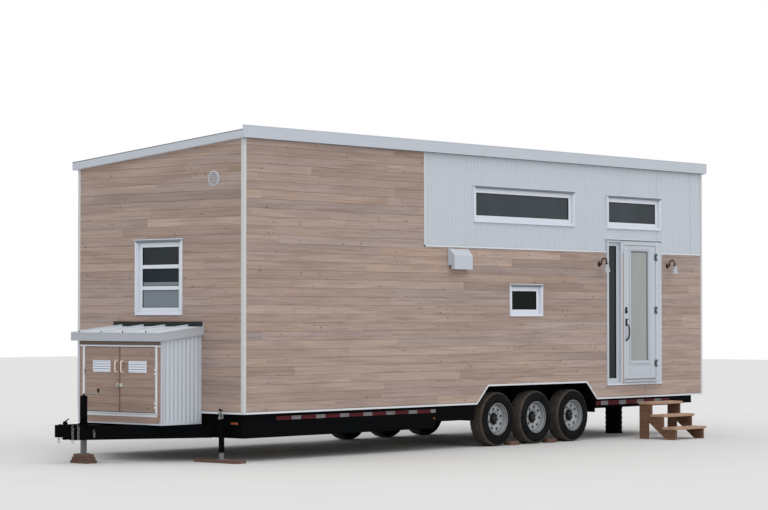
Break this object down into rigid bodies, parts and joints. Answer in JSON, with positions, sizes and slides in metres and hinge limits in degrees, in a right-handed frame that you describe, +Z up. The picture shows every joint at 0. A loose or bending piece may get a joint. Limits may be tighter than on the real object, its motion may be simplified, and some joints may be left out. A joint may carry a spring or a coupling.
{
  "type": "tiny house on wheels",
  "caption": "Long box-shaped cabin with a single-pitch roof on a low trailer, with a side entry door, strip windows, a storage box over the tongue and timber entry steps",
  "frame": {"origin": "on the ground under the middle of the whole outline, from the coupler's tip to the rear roof edge and from the lowest step to the far roof edge", "axes": "+X along the house from the tongue to the rear, +Y from the door side to the far side, +Z up"},
  "size_m": [11.964, 4.046, 4.2011],
  "materials": {
    "framing_timber": "rough sawn",
    "stained_boards": "semi-transparent stain",
    "white_paint": "satin paint",
    "white_metal": "satin coil coating",
    "glazing": "clear",
    "black_steel": "satin black paint",
    "zinc_steel": "zinc plated",
    "silver_paint": "silver paint",
    "tyre_rubber": "matt",
    "step_timber": "weathered"
  },
  "bodies": {
    "house": {"floor_deck": "framing_timber", "front_wall": "stained_boards", "rear_wall": "stained_boards", "far_wall": "stained_boards", "door_wall_front": "stained_boards", "door_wall_over": "stained_boards", "door_wall_rear": "stained_boards", "door_wall_sill": "stained_boards", "roof_deck": "white_metal", "roof_metal": "white_metal", "eave_boards": "white_paint", "rake_boards": "white_paint", "corner_trims": "white_paint", "base_trim": "white_paint", "metal_panels": "white_metal", "front_window": "white_paint", "side_windows": "white_paint", "far_windows": "white_paint", "window_glass": "glazing", "door_frame": "white_paint", "door_hinges": "black_steel", "wall_lamps": "black_steel", "lamp_shades": "glazing", "wall_vents": "white_paint", "chassis_rails": "black_steel", "cross_members": "black_steel", "rear_supports": "black_steel", "axles": "black_steel", "fenders": "black_steel", "tongue_frame": "black_steel", "coupler": "black_steel", "safety_chains": "zinc_steel", "tongue_jack": "black_steel", "stabiliser_jack": "black_steel", "box_walls": "white_metal", "box_frame": "white_paint", "box_roof": "white_paint", "step_treads": "step_timber", "step_frame": "step_timber", "timber_blocks": "step_timber"},
    "entry_door": {"entry_door": "white_paint", "entry_door_glass": "glazing", "entry_door_hardware": "black_steel"},
    "box_door_left": {"box_door_left": "stained_boards"},
    "box_door_right": {"box_door_right": "stained_boards"},
    "jack_leg": {"jack_leg": "zinc_steel"},
    "jack_crank": {"jack_crank": "zinc_steel"},
    "stabiliser_leg": {"stabiliser_leg": "zinc_steel"},
    "near_wheel_1": {"near_tyre_1": "tyre_rubber", "near_rim_1": "silver_paint"},
    "near_wheel_2": {"near_tyre_2": "tyre_rubber", "near_rim_2": "silver_paint"},
    "near_wheel_3": {"near_tyre_3": "tyre_rubber", "near_rim_3": "silver_paint"},
    "far_wheel_1": {"far_tyre_1": "tyre_rubber", "far_rim_1": "silver_paint"},
    "far_wheel_2": {"far_tyre_2": "tyre_rubber", "far_rim_2": "silver_paint"},
    "far_wheel_3": {"far_tyre_3": "tyre_rubber", "far_rim_3": "silver_paint"}
  },
  "joints": [
    {"name": "entry_door_hinge", "type": "hinge", "parent": "house", "child": "entry_door", "pos_m": [4.642, -1.1323, 1.915], "axis": [0, 0, 1], "range_deg": [0, 95]},
    {"name": "box_door_left_hinge", "type": "hinge", "parent": "house", "child": "box_door_left", "pos_m": [-4.9583, 1.06, 0.9], "axis": [0, 0, -1], "range_deg": [0, 100]},
    {"name": "box_door_right_hinge", "type": "hinge", "parent": "house", "child": "box_door_right", "pos_m": [-4.9583, -0.24, 0.9], "axis": [0, 0, 1], "range_deg": [0, 100]},
    {"name": "jack_leg_slide", "type": "slide", "parent": "house", "child": "jack_leg", "axis": [0, 0, 1], "range_m": [0, 0.15]},
    {"name": "jack_crank_turn", "type": "hinge", "parent": "house", "child": "jack_crank", "pos_m": [-5.53, 0.43, 0.862], "axis": [0, 0, 1], "continuous": true},
    {"name": "stabiliser_leg_slide", "type": "slide", "parent": "house", "child": "stabiliser_leg", "axis": [0, 0, 1], "range_m": [0, 0.07]},
    {"name": "near_wheel_1_spin", "type": "hinge", "parent": "house", "child": "near_wheel_1", "pos_m": [0.864, -0.9475, 0.38], "axis": [0, 1, 0], "continuous": true},
    {"name": "near_wheel_2_spin", "type": "hinge", "parent": "house", "child": "near_wheel_2", "pos_m": [1.744, -0.9475, 0.38], "axis": [0, 1, 0], "continuous": true},
    {"name": "near_wheel_3_spin", "type": "hinge", "parent": "house", "child": "near_wheel_3", "pos_m": [2.624, -0.9475, 0.38], "axis": [0, 1, 0], "continuous": true},
    {"name": "far_wheel_1_spin", "type": "hinge", "parent": "house", "child": "far_wheel_1", "pos_m": [0.864, 1.8075, 0.38], "axis": [0, 1, 0], "continuous": true},
    {"name": "far_wheel_2_spin", "type": "hinge", "parent": "house", "child": "far_wheel_2", "pos_m": [1.744, 1.8075, 0.38], "axis": [0, 1, 0], "continuous": true},
    {"name": "far_wheel_3_spin", "type": "hinge", "parent": "house", "child": "far_wheel_3", "pos_m": [2.624, 1.8075, 0.38], "axis": [0, 1, 0], "continuous": true}
  ]
}
